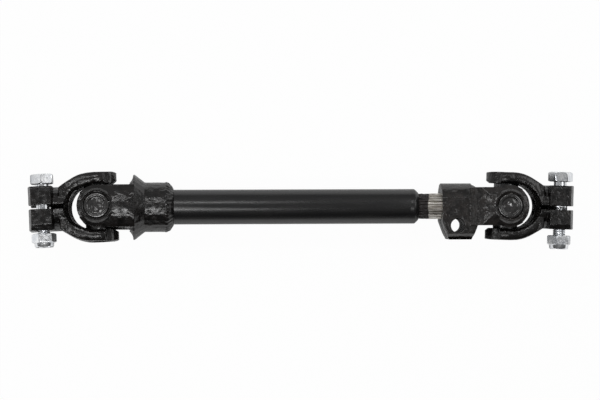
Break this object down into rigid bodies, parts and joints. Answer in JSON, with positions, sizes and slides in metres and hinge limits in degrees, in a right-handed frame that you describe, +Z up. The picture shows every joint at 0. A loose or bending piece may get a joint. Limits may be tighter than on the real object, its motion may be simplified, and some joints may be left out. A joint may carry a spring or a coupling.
{
  "type": "steering shaft",
  "caption": "Telescoping steering shaft: a black tube and splined inner shaft between universal joints, each ending in a slit clamp yoke.",
  "frame": {"origin": "on the surface that the shaft lies on, under the middle of its box", "axes": "+X along the shaft, from the tube end to the splined end; +Z up, through the front bearing cups; +Y toward the heads of the pinch bolts"},
  "size_m": [0.3298, 0.048, 0.0433],
  "materials": {
    "black_paint": "semi-gloss black paint over forged steel",
    "bright_zinc": "bright zinc plate",
    "bare_steel": "bare machined steel",
    "cup_steel": "pressed bearing steel under thin black paint",
    "black_rubber": "matt",
    "nylon": "matt"
  },
  "bodies": {
    "tube_body": {"tube_yoke": "black_paint", "tube": "black_paint", "sliding_sleeve": "nylon", "left_cup_front": "cup_steel", "left_needles_front": "bare_steel", "left_seal_front": "black_rubber", "left_cup_rear": "cup_steel", "left_needles_rear": "bare_steel", "left_seal_rear": "black_rubber"},
    "left_cross_body": {"left_cross": "bare_steel"},
    "left_clamp_body": {"left_clamp_yoke": "black_paint", "left_cup_top": "cup_steel", "left_needles_top": "bare_steel", "left_seal_top": "black_rubber", "left_cup_bottom": "cup_steel", "left_needles_bottom": "bare_steel", "left_seal_bottom": "black_rubber", "left_bolt": "bright_zinc", "left_nut": "bright_zinc", "left_lock_ring": "nylon"},
    "shaft_body": {"splined_shaft": "bare_steel", "shaft_yoke": "black_paint", "right_cup_front": "cup_steel", "right_needles_front": "bare_steel", "right_seal_front": "black_rubber", "right_cup_rear": "cup_steel", "right_needles_rear": "bare_steel", "right_seal_rear": "black_rubber"},
    "right_cross_body": {"right_cross": "bare_steel"},
    "right_clamp_body": {"right_clamp_yoke": "black_paint", "right_cup_top": "cup_steel", "right_needles_top": "bare_steel", "right_seal_top": "black_rubber", "right_cup_bottom": "cup_steel", "right_needles_bottom": "bare_steel", "right_seal_bottom": "black_rubber", "right_bolt": "bright_zinc", "right_nut": "bright_zinc", "right_lock_ring": "nylon"}
  },
  "joints": [
    {"name": "left_cross_swing", "type": "hinge", "parent": "tube_body", "child": "left_cross_body", "pos_m": [-0.12363, 0.00235, 0.02164], "axis": [0, 0.0698, 0.9976], "range_deg": [-24.5, 19.5]},
    {"name": "left_clamp_swing", "type": "hinge", "parent": "left_cross_body", "child": "left_clamp_body", "pos_m": [-0.12363, 0.00235, 0.02164], "axis": [-0.0436, 0.9966, -0.0697], "range_deg": [-22, 22]},
    {"name": "shaft_slide", "type": "slide", "parent": "tube_body", "child": "shaft_body", "axis": [1, 0, 0], "range_m": [-0.012, 0.03]},
    {"name": "right_cross_swing", "type": "hinge", "parent": "shaft_body", "child": "right_cross_body", "pos_m": [0.12477, 0.00235, 0.02164], "axis": [0, 0, 1], "range_deg": [-20.2, 23.8]},
    {"name": "right_clamp_swing", "type": "hinge", "parent": "right_cross_body", "child": "right_clamp_body", "pos_m": [0.12477, 0.00235, 0.02164], "axis": [0.0314, 0.9995, 0], "range_deg": [-22, 22]}
  ]
}
